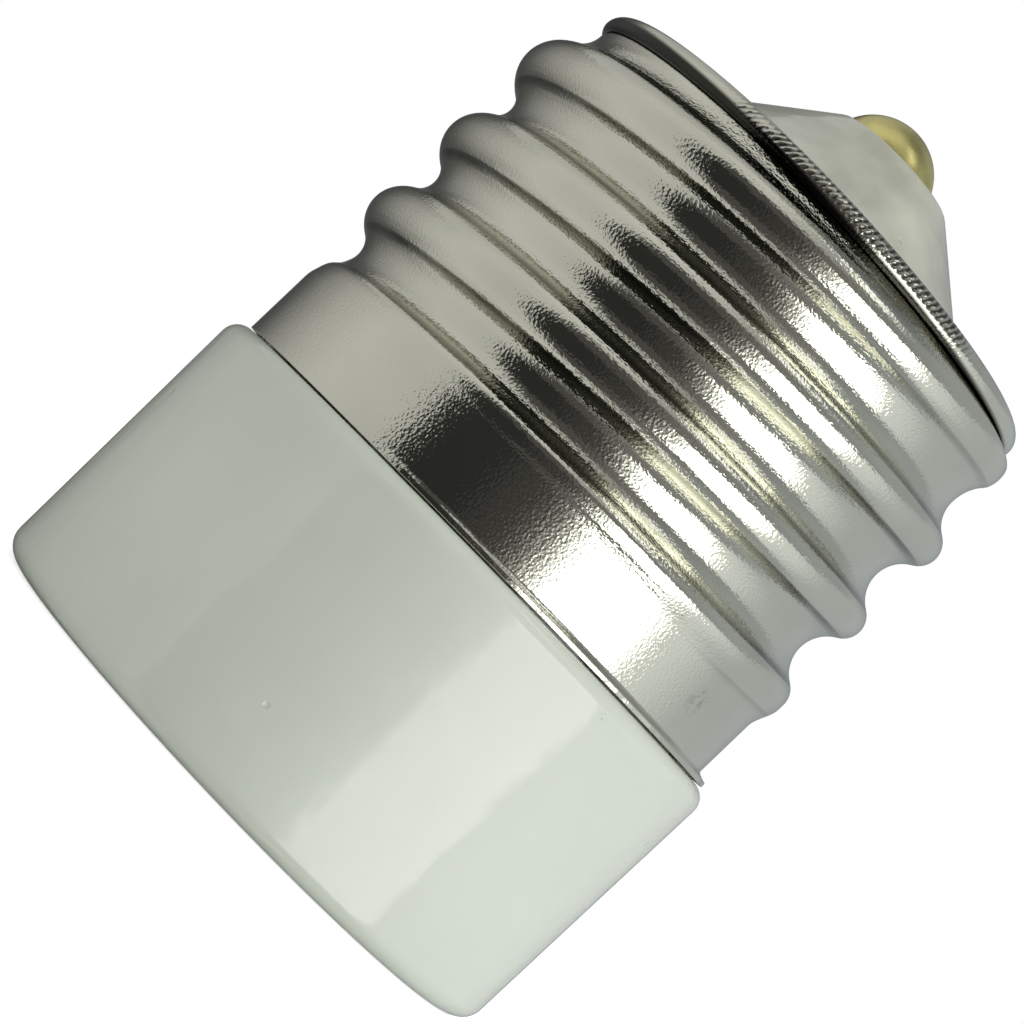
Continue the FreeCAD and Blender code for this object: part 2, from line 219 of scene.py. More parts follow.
class AdapterFinish(bpy.types.PropertyGroup):
    glaze: colour("Glaze", "Body colour of the glazed porcelain", 0.725, 0.775, 0.68)
    bisque: colour("Bisque", "Bare porcelain on the open face", 0.80, 0.78, 0.72)
    nickel: colour("Nickel", "Colour of the nickel plate", 0.67, 0.67, 0.57)
    nose_tint: colour("Nose tint", "Warmer glaze of the conical nose", 0.70, 0.715, 0.585)
    # How much of their brightness the thread's corners keep under the painted shade
    corner_shade: share("Grime", "How much the thread's corners keep of their brightness", 0.40)
    brass: colour("Brass", "Colour of the brass contact", 0.80, 0.72, 0.29)
    bronze: colour("Bronze", "Colour of the contact spring", 0.70, 0.46, 0.22)
    floor: colour("Floor", "Colour of the studio floor", 0.90, 0.90, 0.90)


def knuckle_drop(axial, pitch, crest_arc, root_arc):
    """How far a knuckle thread lies below its crest, at an axial distance from the crest."""
    s = abs((axial + pitch / 2) % pitch - pitch / 2)
    arcs = crest_arc + root_arc
    if s <= pitch / 2 * crest_arc / arcs:
        return crest_arc - math.sqrt(crest_arc ** 2 - s ** 2)
    t = pitch / 2 - s
    return crest_arc - math.sqrt(arcs ** 2 - (pitch / 2) ** 2) + math.sqrt(root_arc ** 2 - t ** 2)


def smooth(t):
    t = min(1.0, max(0.0, t))
    return t * t * (3 - 2 * t)


def spread(start, stop, step):
    """Evenly spaced values from start to stop, about one step apart."""
    number = max(1, round(abs(stop - start) / step))
    return [start + (stop - start) * i / number for i in range(number + 1)]


def rounded(corners, closed=True, step=math.radians(12)):
    """Points of an outline from (radius, z, rounding) corners, with the roundings as arcs."""
    points = []
    number = len(corners)
    for i in range(number):
        x, z, radius = corners[i]
        here = Vector((x, z))
        if radius <= 0 or (not closed and i in (0, number - 1)):
            points.append(here)
            continue
        u = (Vector(corners[i - 1][:2]) - here).normalized()
        v = (Vector(corners[(i + 1) % number][:2]) - here).normalized()
        half = u.angle(v) / 2
        centre = here + (u + v).normalized() * (radius / math.sin(half))
        start = here + u * (radius / math.tan(half)) - centre
        end = here + v * (radius / math.tan(half)) - centre
        swing = start.angle_signed(end)
        parts = max(2, math.ceil(abs(swing) / step))
        for k in range(parts + 1):
            arm = Matrix.Rotation(-swing * k / parts, 2) @ start
            points.append(centre + arm)
    return points


def spun(points, steps, closed):
    """A bmesh spun about Z from (radius, z) points."""
    bm = bmesh.new()
    verts = [bm.verts.new((p[0], 0, p[1])) for p in points]
    edges = [bm.edges.new(pair) for pair in zip(verts, verts[1:])]
    if closed:
        edges.append(bm.edges.new((verts[-1], verts[0])))
    bmesh.ops.spin(
        bm, geom=verts + edges, cent=(0, 0, 0), axis=(0, 0, 1), dvec=(0, 0, 0),
        angle=TURN, steps=steps, use_merge=True, use_duplicate=False)
    bmesh.ops.remove_doubles(bm, verts=bm.verts, dist=1e-7)
    bmesh.ops.recalc_face_normals(bm, faces=bm.faces)
    return bm


def linked(name, data):
    """A new object with the given data, in the scene."""
    obj = bpy.data.objects.new(name, data)
    bpy.context.scene.collection.objects.link(obj)
    return obj


def mesh_object(name, bm):
    """A new object in the scene with the bmesh as its mesh. The bmesh is freed."""
    mesh = bpy.data.meshes.new(name)
    bm.to_mesh(mesh)
    bm.free()
    return linked(name, mesh)


def carved(bm, cutters):
    """The closed mesh with closed cutters taken away from it, one after the other."""
    objects = [mesh_object("carving", shape) for shape in [bm] + cutters]
    for cutter in objects[1:]:
        cut = objects[0].modifiers.new("cut", "BOOLEAN")
        cut.operation = "DIFFERENCE"
        cut.object = cutter
    graph = bpy.context.evaluated_depsgraph_get()
    result = bmesh.new()
    result.from_object(objects[0], graph)
    for obj in objects:
        bpy.data.meshes.remove(obj.data)
    return result


def face_outwards(bm, outwards=True):
    """Turns an open spun wall so that its faces point away from the axis, or towards it."""
    total = 0.0
    for face in bm.faces:
        centre = face.calc_center_median()
        total += face.normal.dot(Vector((centre.x, centre.y, 0)))
    if (total > 0) != outwards:
        bmesh.ops.reverse_faces(bm, faces=bm.faces)


def piece(name, bm, finish, body="adapter", replaced=(), sharp=None):
    """A finished mesh object at the origin, riding on its body and standing for its CAD nodes."""
    for face in bm.faces:
        face.smooth = True
    if sharp is not None:
        for edge in bm.edges:
            if len(edge.link_faces) == 2 and edge.calc_face_angle() > sharp:
                edge.smooth = False
    obj = mesh_object(name, bm)
    obj.data.materials.append(finish)
    if body:
        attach(obj, body)
    if replaced:
        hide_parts(*replaced)
    return obj


def thicken(obj, thickness, offset=-1.0):
    """Gives an open skin its sheet's thickness, which lies on the inner side at offset -1."""
    sheet = obj.modifiers.new("sheet", "SOLIDIFY")
    sheet.thickness = thickness
    sheet.offset = offset


def node_adder(tree):
    """Empties a node tree and returns a function that adds a node with settings and inputs."""
    tree.nodes.clear()

    def add(kind, inputs=None, **settings):
        node = tree.nodes.new(kind)
        for key, value in settings.items():
            setattr(node, key, value)
        for key, value in (inputs or {}).items():
            if isinstance(value, bpy.types.NodeSocket):
                tree.links.new(value, node.inputs[key])
            else:
                node.inputs[key].default_value = value
        return node

    return add


def new_material(name):
    material = bpy.data.materials.new(name)
    material.use_nodes = True
    return material, node_adder(material.node_tree)


def ramp(add, factor, stops):
    """A colour ramp with the given (place, colour) stops."""
    node = add("ShaderNodeValToRGB", {"Fac": factor})
    elements = node.color_ramp.elements
    while len(elements) < len(stops):
        elements.new(0.5)
    for element, (place, value) in zip(elements, stops):
        element.position = place
        element.color = value if len(value) == 4 else (*value, 1.0)
    return node.outputs["Color"]


def shaded(value, factor):
    return tuple(c * factor for c in value[:3]) + (1.0,)


def math_node(add, operation, *values):
    """Output of a maths node with the given values or sockets."""
    return add("ShaderNodeMath", dict(enumerate(values)), operation=operation).outputs[0]


def ranged(add, value, start, stop, low=0.0, high=1.0, **settings):
    """A value moved from the range start to stop into the range low to high, and kept in it."""
    return add("ShaderNodeMapRange", {
        "Value": value, "From Min": start, "From Max": stop, "To Min": low, "To Max": high},
        **settings).outputs[0]


def blended(add, factor, first, second):
    """A colour between two others."""
    return add("ShaderNodeMix", {"Factor": factor, 6: first, 7: second},
               data_type="RGBA").outputs[2]


def cloud(add, place, scale, detail):
    """A noise pattern at a place, from 0 to 1."""
    return add("ShaderNodeTexNoise", {
        "Vector": place, "Scale": scale, "Detail": detail}).outputs["Fac"]


def bumped(add, height, strength, distance, normal=None):
    """The normal of a surface with a height pattern on it, over another normal if one is given."""
    inputs = {"Height": height, "Strength": strength, "Distance": distance}
    if normal is not None:
        inputs["Normal"] = normal
    return add("ShaderNodeBump", inputs).outputs["Normal"]


def glazed_porcelain(finish):
    """Glossy pale glaze with slow ripples and tiny pits, warmer and blotched on the nose, and
    bare on the open face."""
    material, add = new_material("glaze_finish")
    place = add("ShaderNodeTexCoord").outputs["Object"]
    height = add("ShaderNodeSeparateXYZ", {"Vector": place}).outputs["Z"]
    tint = ramp(add, cloud(add, place, 70.0, 3.0), [
        (0.30, shaded(finish.glaze, 0.96)), (0.70, shaded(finish.glaze, 1.04))])
    warm = ramp(add, cloud(add, place, 140.0, 3.0), [
        (0.38, shaded(finish.nose_tint, 0.70)), (0.62, finish.nose_tint)])
    on_nose = ranged(add, height, SHOULDER_Z, SHOULDER_Z + MM)
    bare = ranged(add, height, 0.12 * MM, 0.02 * MM)
    base = blended(add, bare, blended(add, on_nose, tint, warm), tuple(finish.bisque))
    cells = add("ShaderNodeTexVoronoi", {"Vector": place, "Scale": 520.0, "Randomness": 1.0})
    from_pit = ranged(add, cells.outputs["Distance"], 0.05, 0.13)
    draw = add("ShaderNodeSeparateColor", {"Color": cells.outputs["Color"]}).outputs[0]
    unpitted = math_node(add, "LESS_THAN", draw, UNPITTED_SHARE)
    pits = math_node(add, "MAXIMUM", from_pit, unpitted)
    rippled = bumped(add, cloud(add, place, 260.0, 2.0), 0.25, 0.4 * MM)
    shader = add("ShaderNodeBsdfPrincipled", {
        "Base Color": base, "Roughness": ranged(add, bare, 0.0, 1.0, 0.035, 0.65),
        "Normal": bumped(add, pits, 0.8, 0.09 * MM, rippled), "IOR": 1.5,
        "Subsurface Weight": 0.08, "Subsurface Radius": (0.8, 0.75, 0.7),
        "Subsurface Scale": 0.8 * MM})
    add("ShaderNodeOutputMaterial", {"Surface": shader.outputs[0]})
    return material


# Share of the glaze's cells that have no pit
UNPITTED_SHARE = 0.97

# Painted shade in the thread: where it starts, is full and ends, from the place where the arc of a
# crest meets the arc of a groove
CORNER_SHADE_START = -0.22 * MM
CORNER_SHADE_FULL = -0.12 * MM
CORNER_SHADE_END = 0.30 * MM

# The painted shade under the rim: how softly it ends below the rim, and where it starts over the wall
SHADE_ABOVE = 0.20 * MM
SHADE_BELOW = 0.10 * MM
SHADE_START = -0.16 * MM
SHADE_FULL = -0.02 * MM

# How dark the painted shade in the valleys between the pressed teeth gets, and the shares of a
# tooth's depth where that shade starts and is full
VALLEY_SHADE = 0.85
VALLEY_START = 0.08
VALLEY_FULL = 0.45

# A stain low on the skirt
STAIN_PLACE = (15.0 * MM, -11.8 * MM, SEAM_Z + 3.3 * MM)
STAIN_RADIUS = 1.1 * MM


def unwound_thread(add, xyz, shell):
    """Three things: the height with the thread's rise taken out, the distance from the nearest
    crest with the change of the arcs taken out, and how far from a crest its arc ends."""
    back_y = math_node(add, "MULTIPLY", xyz.outputs["Y"], -1.0)
    turn = math_node(add, "ARCTAN2", xyz.outputs["X"], back_y)
    rise = math_node(add, "MULTIPLY", turn, -shell.pitch / TURN)
    unwound = math_node(add, "ADD", xyz.outputs["Z"], rise)
    first_crest = SEAM_Z - shell.pitch * (TURN / 4 + shell.start_angle) / TURN
    from_first = math_node(add, "SUBTRACT", unwound, first_crest)
    from_crest = math_node(add, "PINGPONG", from_first, shell.pitch / 2)
    per_arc = shell.pitch / 2 / (shell.crest_arc + shell.root_arc)
    arc_place = math_node(add, "MULTIPLY_ADD", xyz.outputs["X"],
                          per_arc * shell.arc_change / shell.crest_radius, from_crest)
    return unwound, arc_place, per_arc * shell.crest_arc


def thread_corner_shade(add, height, shell, arc_place, junction):
    """Painted shade in a thin line along the thread, where crest and groove meet."""
    corner = ranged(add, arc_place, junction + CORNER_SHADE_START, junction + CORNER_SHADE_FULL)
    groove = ranged(add, arc_place, junction + CORNER_SHADE_END, junction)
    above = ranged(add, height, SEAM_Z + shell.groove_full - 2 * MM, SEAM_Z + shell.groove_full)
    below = ranged(add, height, SEAM_Z + shell.crest_fade_end, SEAM_Z + shell.crest_fade - MM)
    line = math_node(add, "MULTIPLY", corner, groove)
    wound = math_node(add, "MULTIPLY", above, below)
    return math_node(add, "MULTIPLY", line, wound)


def rim_painted_shade(add, xyz, shell):
    """Painted shade in the crease under the rim, thinner to the right, and between the pressed teeth.
    """
    leaned = math_node(add, "MULTIPLY_ADD", xyz.outputs["X"], shell.rim_drop / shell.rim_radius,
                       xyz.outputs["Z"])
    to_front = ranged(add, xyz.outputs["X"], -shell.rim_radius, 0.0,
                      0.0, shell.rim_shade - shell.front_shade)
    to_right = ranged(add, xyz.outputs["X"], shell.shade_end, shell.rim_radius,
                      0.0, shell.front_shade)
    thinned = math_node(add, "ADD", leaned, math_node(add, "ADD", to_front, to_right))
    crease_z = SEAM_Z + shell.crease_height
    shade_z = crease_z + shell.rim_shade
    under_rim = ranged(add, thinned, shade_z + SHADE_ABOVE, shade_z - SHADE_BELOW,
                       interpolation_type="SMOOTHSTEP")
    over_wall = ranged(add, leaned, crease_z + SHADE_START, crease_z + SHADE_FULL)
    crease = math_node(add, "MULTIPLY", under_rim, over_wall)
    widest = crease_z + shell.bead_height
    up = ranged(add, leaned, widest, SHELL_HIGH.z)
    squared = math_node(add, "MULTIPLY", up, up)
    flat = math_node(add, "SQRT", math_node(add, "MULTIPLY_ADD", squared, -1.0, 1.0))
    untoothed = math_node(add, "MULTIPLY_ADD", flat, shell.bead_radius - shell.rim_radius,
                          shell.rim_radius)
    across = add("ShaderNodeCombineXYZ", {"X": xyz.outputs["X"], "Y": xyz.outputs["Y"]})
    reach = add("ShaderNodeVectorMath", {0: across.outputs[0]}, operation="LENGTH")
    radius = reach.outputs["Value"]
    pressed_in = math_node(add, "SUBTRACT", untoothed, radius)
    valley = ranged(add, pressed_in, VALLEY_START * shell.tooth_depth,
                    VALLEY_FULL * shell.tooth_depth)
    # Painted shade in the valleys between the pressed teeth
    valley_shade = math_node(add, "MULTIPLY", valley, VALLEY_SHADE)
    over_widest = math_node(add, "GREATER_THAN", leaned, widest)
    outside = math_node(add, "GREATER_THAN", radius, shell.rim_radius)
    on_bead = math_node(add, "MULTIPLY", over_widest, outside)
    return math_node(add, "MAXIMUM", crease, math_node(add, "MULTIPLY", valley_shade, on_bead))


def nickel_plate(finish, shell):
    """Bright plate over pressed sheet: orange peel, rolling marks that follow the thread, dents and
    slight stains, with painted shade in the corners of the thread, under the rim and between the
    teeth."""
    material, add = new_material("nickel_finish")
    place = add("ShaderNodeTexCoord").outputs["Object"]
    xyz = add("ShaderNodeSeparateXYZ", {"Vector": place})
    unwound, arc_place, junction = unwound_thread(add, xyz, shell)
    tarnish = cloud(add, place, 160.0, 2.0)
    tint = ramp(add, tarnish, [
        (0.35, shaded(finish.nickel, 0.95)), (0.65, shaded(finish.nickel, 1.02))])
    # Darker copy of the nickel for the painted shade in the thread's corners
    corner_shaded_tint = ramp(add, tarnish, [
        (0.35, shaded(finish.nickel, finish.corner_shade * 0.6)),
        (0.65, shaded(finish.nickel, finish.corner_shade * 1.3))])
    # Painted shade: a thin dark line where crest meets groove
    corner_shade = thread_corner_shade(add, xyz.outputs["Z"], shell, arc_place, junction)
    threaded = blended(add, corner_shade, tint, corner_shaded_tint)
    # Near-black nickel painted as shade in the crease under the rim and between the teeth
    rimmed = blended(add, rim_painted_shade(add, xyz, shell), threaded, shaded(finish.nickel, 0.06))
    from_stain = add("ShaderNodeVectorMath", {0: place, 1: STAIN_PLACE}, operation="DISTANCE")
    near_stain = ranged(add, from_stain.outputs["Value"], STAIN_RADIUS, 0.1 * MM)
    speck = ranged(add, cloud(add, place, 1900.0, 2.0), 0.45, 0.62)
    base = blended(add, math_node(add, "MULTIPLY", near_stain, speck),
                   rimmed, shaded(finish.nose_tint, 0.55))
    along = add("ShaderNodeCombineXYZ", {
        "X": xyz.outputs["X"], "Y": xyz.outputs["Y"], "Z": unwound})
    drawn_out = add("ShaderNodeMapping", {
        "Vector": along.outputs[0], "Scale": (90.0, 90.0, 4600.0)})
    flank = ranged(add, arc_place, junction + 1.1 * MM, junction + 0.4 * MM, 0.3, 1.0)
    marks = math_node(add, "MULTIPLY", cloud(add, drawn_out.outputs[0], 1.0, 1.0), flank)
    dimples = add("ShaderNodeTexVoronoi", {"Vector": place, "Scale": 4800.0})
    dented = bumped(add, cloud(add, place, 380.0, 0.0), 0.08, 0.2 * MM)
    rolled = bumped(add, marks, 0.22, 0.08 * MM, dented)
    dimpled = bumped(add, dimples.outputs["Distance"], 0.17, 0.06 * MM, rolled)
    peeled = bumped(add, cloud(add, place, 7000.0, 1.0), 0.18, 0.06 * MM, dimpled)
    shader = add("ShaderNodeBsdfPrincipled", {
        "Base Color": base, "Metallic": 1.0,
        "Roughness": ranged(add, tarnish, 0.0, 1.0, 0.04, 0.12), "Normal": peeled})
    add("ShaderNodeOutputMaterial", {"Surface": shader.outputs[0]})
    return material


def bare_metal(name, base, low_rough, high_rough):
    """Unplated metal with slight tarnish and a fine rolled grain."""
    material, add = new_material(name)
    place = add("ShaderNodeTexCoord").outputs["Object"]
    tarnish = cloud(add, place, 500.0, 4.0)
    tint = ramp(add, tarnish, [(0.30, shaded(base, 0.72)), (0.62, tuple(base))])
    shader = add("ShaderNodeBsdfPrincipled", {
        "Base Color": tint, "Metallic": 1.0,
        "Roughness": ranged(add, tarnish, 0.0, 1.0, low_rough, high_rough),
        "Normal": bumped(add, cloud(add, place, 3000.0, 2.0), 0.15, 0.05 * MM)})
    add("ShaderNodeOutputMaterial", {"Surface": shader.outputs[0]})
    return material


def finish_named(name):
    """The material of that name, made the first time it is asked for."""
    found = bpy.data.materials.get(name)
    if found:
        return found
    finish = bpy.context.scene.adapter_finish
    if name == "glaze_finish":
        return glazed_porcelain(finish)
    if name == "nickel_finish":
        return nickel_plate(finish, bpy.context.scene.adapter_shell)
    if name == "brass_finish":
        return bare_metal(name, finish.brass, 0.20, 0.36)
    if name == "bronze_finish":
        return bare_metal(name, finish.bronze, 0.25, 0.40)
    raise ValueError("no finish is called " + name)


def seam_offset(s, x):
    """How far the seam between collar and shell lies above its mean height at a place x."""
    return s.seam_slope * x - s.seam_drop


class ADAPTER_OT_porcelain(bpy.types.Operator):
    """Glazed body: collar, neck, conical nose and socket cavity"""
    bl_idname = "adapter.porcelain"
    bl_label = "Porcelain body"

    def execute(self, context):
        p = context.scene.adapter_porcelain
        shell = context.scene.adapter_shell
        collar_z = SEAM_Z - p.seat_gap
        outline = rounded([
            (p.mouth_radius, 0, p.mouth_round),
            (p.foot_radius, 0, p.foot_round),
            (p.top_radius, collar_z, p.shoulder_round),
            (p.neck_radius, collar_z, 0),
            (p.neck_radius, SHOULDER_Z, p.neck_round),
            (p.cone_radius, SHOULDER_Z, 0),
            (p.plateau_radius, PLATEAU_Z, p.plateau_round),
            (p.hole_radius, PLATEAU_Z, 0),
            (p.hole_radius, FLOOR_Z, 0),
            (p.cavity_radius, FLOOR_Z, p.cavity_round),
            (p.cavity_radius, p.mouth_depth, 0),
            (p.mouth_radius, p.mouth_depth, 0),
        ])
        bm = spun(outline, p.steps, True)
        for vert in bm.verts:
            radius = math.hypot(vert.co.x, vert.co.y)
            if radius < p.cone_radius * 1.001 and vert.co.z > SHOULDER_Z * 0.999:
                vert.co.x += p.nose_shift
            elif radius > p.neck_radius * 0.999 and vert.co.z < SEAM_Z:
                near_seam = smooth((vert.co.z - collar_z + 2 * p.shoulder_round) / p.shoulder_round)
                vert.co.z += seam_offset(shell, vert.co.x) * near_seam
        bm = carved(bm, self.make_seats(p, context.scene.adapter_contacts.rivet_circle))
        piece("glazed_body", bm, finish_named("glaze_finish"),
              replaced=["porcelain_body"], sharp=math.radians(40))
        return {"FINISHED"}

    def make_seats(self, p, circle):
        """Cutters for the two rivet seats beside the nose and for the link strip's groove."""
        depth = PLATEAU_Z - STRIP_LOW.z
        middle = STRIP_LOW.z + depth / 2
        cutters = []
        for x in (-circle, circle):
            seat = bmesh.new()
            bmesh.ops.create_cone(
                seat, cap_ends=True, segments=48, radius1=p.seat_radius, radius2=p.seat_radius,
                depth=depth, matrix=Matrix.Translation((x, 0, middle)))
            cutters.append(seat)
        groove = bmesh.new()
        bmesh.ops.create_cube(groove, size=1.0)
        bmesh.ops.scale(groove, verts=groove.verts, vec=(2 * MM + p.neck_radius - circle,
                                                         2 * p.seat_radius, depth))
        bmesh.ops.translate(groove, verts=groove.verts, vec=(
            -MM - (p.neck_radius + circle) / 2, 0, middle))
        return cutters + [groove]


def thread_radius(s, height, angle):
    """Outer radius of the wound wall. The groove deepens over its first half turn, and the
    crest sinks over its last."""
    crest_height = s.pitch * (angle - s.start_angle) / TURN
    turns = (height - crest_height) / s.pitch
    near_crest = crest_height + s.pitch * round(turns)
    near_groove = crest_height + s.pitch * (math.floor(turns) + 0.5)
    change = s.arc_change * math.cos(angle)
    drop = knuckle_drop(
        height - crest_height, s.pitch, s.crest_arc - change, s.root_arc + change)
    if height < s.crest_fade / 2:
        blend = smooth((height - s.skirt_blend_start) / (s.skirt_blend_end - s.skirt_blend_start))
        depth = smooth((near_groove - s.groove_start) / (s.groove_full - s.groove_start))
        return s.skirt_radius + (s.crest_radius - s.skirt_radius) * blend - drop * depth
    full = knuckle_drop(s.pitch / 2, s.pitch, s.crest_arc, s.root_arc)
    fade = s.crest_fade_share * smooth(
        (near_crest - s.crest_fade) / (s.crest_fade_end - s.crest_fade))
    sink = s.root_sink * smooth(
        (height - s.root_sink_start) / (s.crease_height - s.root_sink_start))
    return s.crest_radius - full - sink + (full - drop) * (1 - fade)


def shell_radius(s, height, angle):
    """Outer radius of the screw shell at a height above the seam and an angle round the axis."""
    if height < s.skirt_top:
        rim_place = Vector((math.cos(angle), math.sin(angle), 0.7))
        uneven = 0.6 * noise.noise(rim_place * 9) + 0.6 * noise.noise(rim_place * 38)
        even = s.lip_flare * (s.lip_evenness + math.cos(angle))
        flare = max(0.0, even + s.lip_wave * uneven)
        gone = max(0.0, height - s.lip_band) / (s.lip_height - s.lip_band)
        return s.skirt_radius + flare * (1 - min(1.0, gone)) ** 2
    t = max(0.0, 1 - (s.crease_height - height) / s.close_height)
    return s.crease_radius + (thread_radius(s, height, angle) - s.crease_radius) * (1 - t ** 3)


class ADAPTER_OT_outer_shell(bpy.types.Operator):
    """Outer screw shell: skirt with its lip, four-turn thread and the wall under the rim"""
    bl_idname = "adapter.outer_shell"
    bl_label = "Outer screw shell"

    def execute(self, context):
        s = context.scene.adapter_shell
        heights = spread(0.0, s.lip_height, 0.06 * MM)[:-1]
        heights += spread(s.lip_height, s.skirt_top, 0.3 * MM)[:-1]
        heights += spread(s.skirt_top, s.crease_height - s.close_height, 0.17 * MM)[:-1]
        heights += spread(s.crease_height - s.close_height, s.crease_height, 0.07 * MM)
        bm = spun([(s.skirt_radius, SEAM_Z + h) for h in heights], s.columns, False)
        for vert in bm.verts:
            height = vert.co.z - SEAM_Z
            angle = math.atan2(vert.co.y, vert.co.x)
            radius = shell_radius(s, height, angle)
            lean = s.lean * smooth((s.crease_height - height) / (2 * MM))
            vert.co.x = radius * math.cos(angle) - lean
            vert.co.y = radius * math.sin(angle)
            near_rim = smooth(1 - (s.crease_height - height) / (2 * MM))
            vert.co.z += seam_offset(s, vert.co.x) * smooth(1 - height / s.skirt_top)
            vert.co.z -= rim_offset(s, vert.co.x) * near_rim
        bm.normal_update()
        face_outwards(bm)
        obj = piece("screw_shell_wall", bm, finish_named("nickel_finish"),
                    replaced=["outer_screw_shell"])
        thicken(obj, s.wall)
        return {"FINISHED"}


def rim_offset(s, x):
    """How far the rim hangs under its mean height at a place x."""
    return s.rim_drop * x / s.rim_radius


class ADAPTER_OT_rim(bpy.types.Operator):
    """Curled rim of the outer shell: a rounded bead with pressed teeth in front, then a flat"""
    bl_idname = "adapter.rim"
    bl_label = "Curled rim"

    def execute(self, context):
        s = context.scene.adapter_shell
        top = SHELL_HIGH.z
        crease = SEAM_Z + s.crease_height
        widest = crease + s.bead_height
        bead = s.bead_radius - s.crease_radius
        curl = s.bead_radius - s.rim_radius
        quarter = spread(0.0, TURN / 4, math.radians(9))
        outline = [
            (s.crease_radius + bead * math.sin(a), widest - s.bead_height * math.cos(a))
            for a in quarter]
        outline += [
            (s.rim_radius + curl * math.cos(a), widest + (top - widest) * math.sin(a))
            for a in quarter[1:]]
        outline += [(r, top) for r in spread(s.rim_radius, s.rim_inner_radius, 0.4 * MM)[1:]]
        bm = spun(outline, s.teeth * 5, False)
        for vert in bm.verts:
            angle = math.atan2(vert.co.y, vert.co.x)
            radius = math.hypot(vert.co.x, vert.co.y)
            around_rim = Vector((math.cos(angle), math.sin(angle), 0.3))
            uneven = 0.65 + 0.35 * noise.noise(around_rim * 90)
            slanted = angle - s.tooth_slant * (vert.co.z - widest) / s.bead_radius
            wave = 0.5 - 0.5 * math.cos(s.teeth * slanted + 2.5 * uneven)
            band = smooth((vert.co.z - widest) / (0.15 * MM))
            band *= smooth((radius - s.rim_radius) / (0.2 * MM))
            past = abs(angle - s.tooth_middle) / s.tooth_span
            patch = 0.75 + 1.1 * noise.noise(around_rim * 7)
            depth = s.tooth_depth * uneven * smooth(patch) * smooth(4 - 4 * past)
            dip = 1 - depth * wave * band / radius
            vert.co.x *= dip
            vert.co.y *= dip
            outer = smooth((radius - s.rim_inner_radius) / (s.rim_radius - s.rim_inner_radius))
            vert.co.z -= rim_offset(s, vert.co.x) * outer
        bm.normal_update()
        face_outwards(bm)
        obj = piece("screw_shell_rim", bm, finish_named("nickel_finish"))
        thicken(obj, s.wall)
        return {"FINISHED"}


class ADAPTER_OT_inner_shell(bpy.types.Operator):
    """Inner screw shell: threaded sleeve with a flange on the socket's floor"""
    bl_idname = "adapter.inner_shell"
    bl_label = "Inner screw shell"

    def execute(self, context):
        s = context.scene.adapter_sleeve
        open_z = SLEEVE_LOW.z
        thread_z = open_z + 0.8 * MM
        back_z = thread_z + s.thread_length
        flange_z = FLOOR_Z - s.wall
        outline = [(s.major_radius, z) for z in spread(open_z, back_z + MM, 0.15 * MM)]
        outline += [tuple(p) for p in rounded([
            (s.back_radius, back_z + 2 * MM, 0),
            (s.back_radius, flange_z, 0.3 * MM),
            (s.flange_radius, flange_z, 0),
        ], closed=False)]
        bm = spun(outline, s.columns, False)
        for vert in bm.verts:
            z = vert.co.z
            if z > back_z + 1.5 * MM:
                continue
            angle = math.atan2(vert.co.y, vert.co.x)
            drop = knuckle_drop(z - s.pitch * angle / TURN, s.pitch, s.arc, s.arc)
            fade_in = smooth((z - thread_z) / (1.5 * MM))
            fade_out = 1 - smooth((z - back_z + 2 * MM) / (2 * MM))
            radius = s.major_radius - drop * fade_in * fade_out
            radius += s.flare * max(0.0, 1 - (z - open_z) / (0.8 * MM)) ** 2
            radius += (s.back_radius - s.major_radius) * smooth((z - back_z) / MM)
            vert.co.x = radius * math.cos(angle)
            vert.co.y = radius * math.sin(angle)
        bm.normal_update()
        face_outwards(bm, outwards=False)
        obj = piece("inner_sleeve", bm, finish_named("nickel_finish"),
                    replaced=["inner_screw_shell"])
        thicken(obj, s.wall)
        return {"FINISHED"}


class ADAPTER_OT_centre_contact(bpy.types.Operator):
    """Brass contact rivet with its dome on the nose and its set end in the socket"""
    bl_idname = "adapter.centre_contact"
    bl_label = "Centre contact"

    def execute(self, context):
        c = context.scene.adapter_contacts
        ball = (c.dome_radius ** 2 + c.dome_height ** 2) / (2 * c.dome_height)
        centre_z = CONTACT_HIGH.z - ball
        limit = math.asin(c.dome_radius / ball)
        dome = [(ball * math.sin(a), centre_z + ball * math.cos(a)) for a in spread(0.0, limit, 0.04)]
        dome[0] = (0.0, dome[0][1])
        set_top = SPRING_HIGH.z - c.spring_thickness
        outline = dome + [tuple(p) for p in rounded([
            (c.shank_radius, PLATEAU_Z, 0),
            (c.shank_radius, set_top, 0),
            (c.set_radius, set_top, 0),
            (c.set_radius, CONTACT_LOW.z, 0.35 * MM),
            (0.0, CONTACT_LOW.z, 0),
        ], closed=False)]
        bm = spun(outline, 96, False)
        piece("centre_contact_rivet", bm, finish_named("brass_finish"),
              replaced=["centre_contact"], sharp=math.radians(40))
        return {"FINISHED"}


